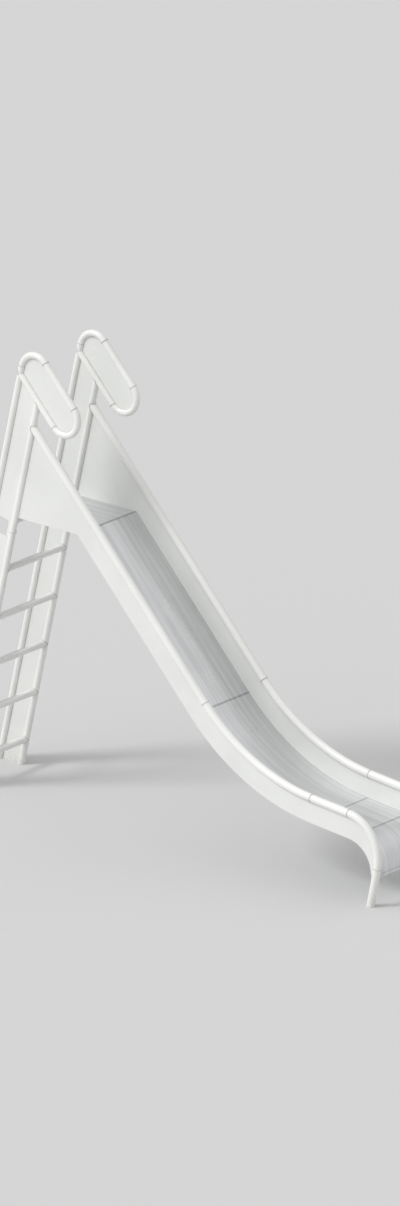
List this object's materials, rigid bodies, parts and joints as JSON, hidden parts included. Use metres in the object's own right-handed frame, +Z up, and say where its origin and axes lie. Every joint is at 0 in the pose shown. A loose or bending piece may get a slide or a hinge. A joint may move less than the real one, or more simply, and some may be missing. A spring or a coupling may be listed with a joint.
{
  "type": "playground slide",
  "caption": "Free-standing playground slide: leaning rung ladder, looped handrails, short deck and a bent sheet chute between tube rails.",
  "frame": {"origin": "on the ground, under the middle of the slide's length and width", "axes": "+X down the slide from the ladder to the exit, +Y to the left of somebody sliding, +Z up"},
  "size_m": [3.176, 0.55, 2.6702],
  "materials": {
    "tube_paint": "white powder coat, satin",
    "panel_paint": "white powder coat on flat sheet, satin",
    "rung_paint": "white powder coat, worn on top of the rungs",
    "chute_steel": "stainless sheet, brushed down the slide"
  },
  "bodies": {
    "root": {"rear_post_lower_left": "tube_paint", "rear_post_upper_left": "tube_paint", "front_post_lower_left": "tube_paint", "front_post_upper_left": "tube_paint", "handrail_top_bend_left": "tube_paint", "handrail_left": "tube_paint", "handrail_end_bend_left": "tube_paint", "handrail_return_left": "tube_paint", "handrail_plate_left": "panel_paint", "slide_rail_left": "tube_paint", "rail_sweep_left": "tube_paint", "runout_rail_left": "tube_paint", "rail_end_bend_left": "tube_paint", "front_leg_left": "tube_paint", "side_panel_left": "panel_paint", "guard_plate_left": "panel_paint", "stringer_plate_left": "panel_paint", "rear_post_lower_right": "tube_paint", "rear_post_upper_right": "tube_paint", "front_post_lower_right": "tube_paint", "front_post_upper_right": "tube_paint", "handrail_top_bend_right": "tube_paint", "handrail_right": "tube_paint", "handrail_end_bend_right": "tube_paint", "handrail_return_right": "tube_paint", "handrail_plate_right": "panel_paint", "slide_rail_right": "tube_paint", "rail_sweep_right": "tube_paint", "runout_rail_right": "tube_paint", "rail_end_bend_right": "tube_paint", "front_leg_right": "tube_paint", "side_panel_right": "panel_paint", "guard_plate_right": "panel_paint", "stringer_plate_right": "panel_paint", "rung_1": "rung_paint", "rung_2": "rung_paint", "rung_3": "rung_paint", "rung_4": "rung_paint", "rung_5": "rung_paint", "deck_bearer": "rung_paint", "deck_plate": "chute_steel", "chute_bed": "chute_steel", "chute_sweep": "chute_steel", "runout_bed": "chute_steel", "exit_lip": "chute_steel"}
  },
  "joints": []
}
